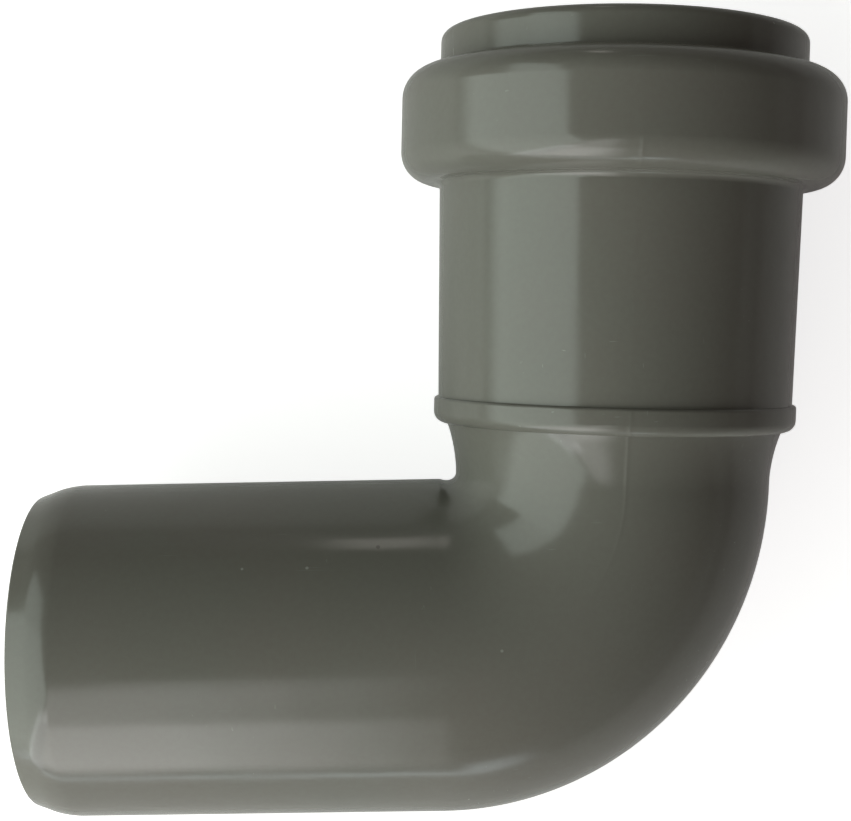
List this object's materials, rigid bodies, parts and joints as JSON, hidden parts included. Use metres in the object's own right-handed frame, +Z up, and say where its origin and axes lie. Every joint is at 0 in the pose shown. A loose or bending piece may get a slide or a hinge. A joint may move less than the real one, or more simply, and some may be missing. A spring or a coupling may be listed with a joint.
{
  "type": "push-fit waste elbow",
  "caption": "Grey plastic waste-pipe elbow: a plain spigot turns through almost a right angle into a push-fit socket with a bulged housing for its rubber lip seal.",
  "frame": {"origin": "on the surface that the elbow lies on, under the middle of its box", "axes": "+Z up from that surface; -X along the spigot's axis, out of its end; the socket's mouth faces +Y, leaning up a little because the seal housing is wider than the spigot"},
  "size_m": [0.0978, 0.0946, 0.053],
  "materials": {
    "grey_polypropylene": "moulded polypropylene with a satin sheen",
    "seal_rubber": "matt black moulded rubber"
  },
  "bodies": {
    "root": {"elbow_body": "grey_polypropylene", "lip_seal": "seal_rubber"}
  },
  "joints": []
}
